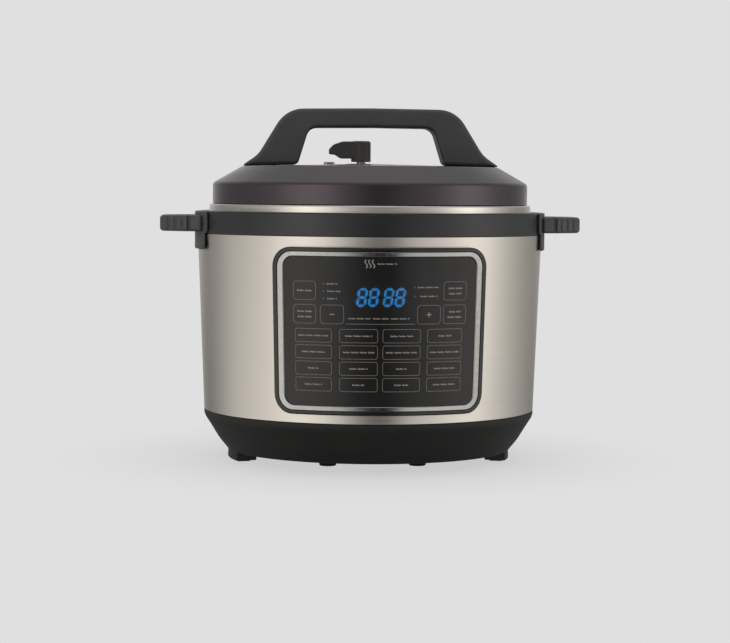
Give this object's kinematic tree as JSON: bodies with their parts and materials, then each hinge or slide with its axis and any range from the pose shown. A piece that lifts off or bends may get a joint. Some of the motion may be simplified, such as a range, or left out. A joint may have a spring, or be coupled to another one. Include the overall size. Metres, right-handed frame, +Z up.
{
  "type": "electric pressure cooker",
  "caption": "Countertop electric pressure cooker: tapered steel body, curved touch panel, black collar with loop handles and a twist-lock lid with an arch handle.",
  "frame": {"origin": "on the table, under the centre of the whole object's box; the pot's own axis stands 10.7 mm in front of it", "axes": "+Z up, -Y towards the user (the control panel's side), +X to the user's right, through the right side handle"},
  "size_m": [0.3996, 0.3576, 0.3348],
  "materials": {
    "base_black": "satin black moulded plastic",
    "zinc_steel": "plain zinc-plated or stainless steel",
    "foot_rubber": "matt black rubber",
    "shell_steel": "brushed stainless steel, grain running round the shell",
    "collar_black": "semi-gloss black plastic",
    "handle_black": "fine-grained matt black plastic",
    "cup_clear": "clear moulded plastic",
    "liner_steel": "plain pressed steel",
    "cast_plate": "cast and machined aluminium",
    "inner_black": "dark grey engineering plastic",
    "board_green": "green solder mask",
    "relay_blue": "blue relay case",
    "pin_brass": "brass",
    "wire_brown": "brown wire insulation",
    "wire_blue": "blue wire insulation",
    "wire_green": "green wire insulation",
    "panel_gloss": "glossy black panel",
    "trim_chrome": "bright chrome trim",
    "pot_steel": "satin stainless steel",
    "seal_silicone": "translucent white silicone",
    "lid_steel": "polished stainless steel",
    "lid_black": "semi-gloss black plastic",
    "gasket_silicone": "red silicone"
  },
  "bodies": {
    "cooker": {"base_housing": "base_black", "bottom_cover": "base_black", "base_screw_1": "zinc_steel", "base_screw_2": "zinc_steel", "base_screw_3": "zinc_steel", "foot_left": "foot_rubber", "foot_right": "foot_rubber", "foot_front_left": "foot_rubber", "foot_front_right": "foot_rubber", "foot_rear_left": "foot_rubber", "foot_rear_right": "foot_rubber", "outer_shell": "shell_steel", "top_collar": "collar_black", "side_handle_left": "handle_black", "side_handle_right": "handle_black", "liner_pot": "liner_steel", "support_plate": "zinc_steel", "heating_plate": "cast_plate", "sensor_bracket": "zinc_steel", "pressure_switch": "inner_black", "thermal_fuse": "zinc_steel", "power_board": "board_green", "power_relay": "relay_blue", "power_transformer": "inner_black", "panel_housing": "inner_black", "control_board": "board_green", "display_module": "inner_black", "power_inlet": "inner_black", "inlet_pin_live": "pin_brass", "inlet_pin_neutral": "pin_brass", "inlet_pin_earth": "pin_brass", "wire_live": "wire_brown", "wire_neutral": "wire_blue", "wire_earth": "wire_green", "ribbon_cable": "inner_black", "panel_frame": "panel_gloss", "panel_trim": "trim_chrome", "panel_face": "panel_gloss"},
    "condensation_cup": {"condensation_cup": "cup_clear"},
    "sensor": {"sensor_cap": "cast_plate", "sensor_spring": "zinc_steel"},
    "pot": {"inner_pot": "pot_steel"},
    "seal": {"sealing_ring": "seal_silicone"},
    "lid": {"lid_shell": "lid_steel", "lid_cover": "lid_black", "lid_handle": "handle_black", "handle_screw_right": "zinc_steel", "handle_screw_left": "zinc_steel", "ring_rack": "zinc_steel", "steam_pipe": "zinc_steel", "pipe_nut": "zinc_steel", "anti_block_shield": "lid_steel"},
    "valve_knob": {"release_knob": "handle_black"},
    "valve_weight": {"valve_weight": "pin_brass"},
    "float_valve": {"float_valve": "zinc_steel", "float_gasket": "gasket_silicone"},
    "lock_slider": {"lock_slider": "zinc_steel"}
  },
  "joints": [
    {"name": "pot_lift", "type": "slide", "parent": "cooker", "child": "pot", "axis": [0, 0, 1], "range_m": [0, 0.22]},
    {"name": "lid_lift", "type": "slide", "parent": "pot", "child": "seal", "axis": [0, 0, 1], "range_m": [0, 0.26]},
    {"name": "lid_turn", "type": "hinge", "parent": "seal", "child": "lid", "pos_m": [0, -0.0107, 0.25], "axis": [0, 0, 1], "range_deg": [0, 30]},
    {"name": "valve_turn", "type": "hinge", "parent": "lid", "child": "valve_knob", "pos_m": [-0.006, 0.0343, 0.295], "axis": [0, 0, 1], "range_deg": [0, 45]},
    {"name": "weight_lift", "type": "slide", "parent": "valve_knob", "child": "valve_weight", "axis": [0, 0, 1], "range_m": [0, 0.002]},
    {"name": "float_rise", "type": "slide", "parent": "lid", "child": "float_valve", "axis": [0, 0, 1], "range_m": [0, 0.0045]},
    {"name": "lock_slide", "type": "slide", "parent": "lid", "child": "lock_slider", "axis": [0, 1, 0], "range_m": [0, 0.004], "stiffness_N_per_m": 120, "springref_m": -0.003},
    {"name": "sensor_press", "type": "slide", "parent": "cooker", "child": "sensor", "axis": [0, 0, 1], "range_m": [-0.0015, 0], "stiffness_N_per_m": 400, "springref_m": 0.003, "deforming": ["sensor_spring"]},
    {"name": "cup_pull", "type": "slide", "parent": "cooker", "child": "condensation_cup", "axis": [0, 1, 0], "range_m": [0, 0.03]}
  ],
  "couplings": [
    {"joint": "weight_lift", "follows": "valve_turn", "m_per_rad": 0.002546}
  ]
}
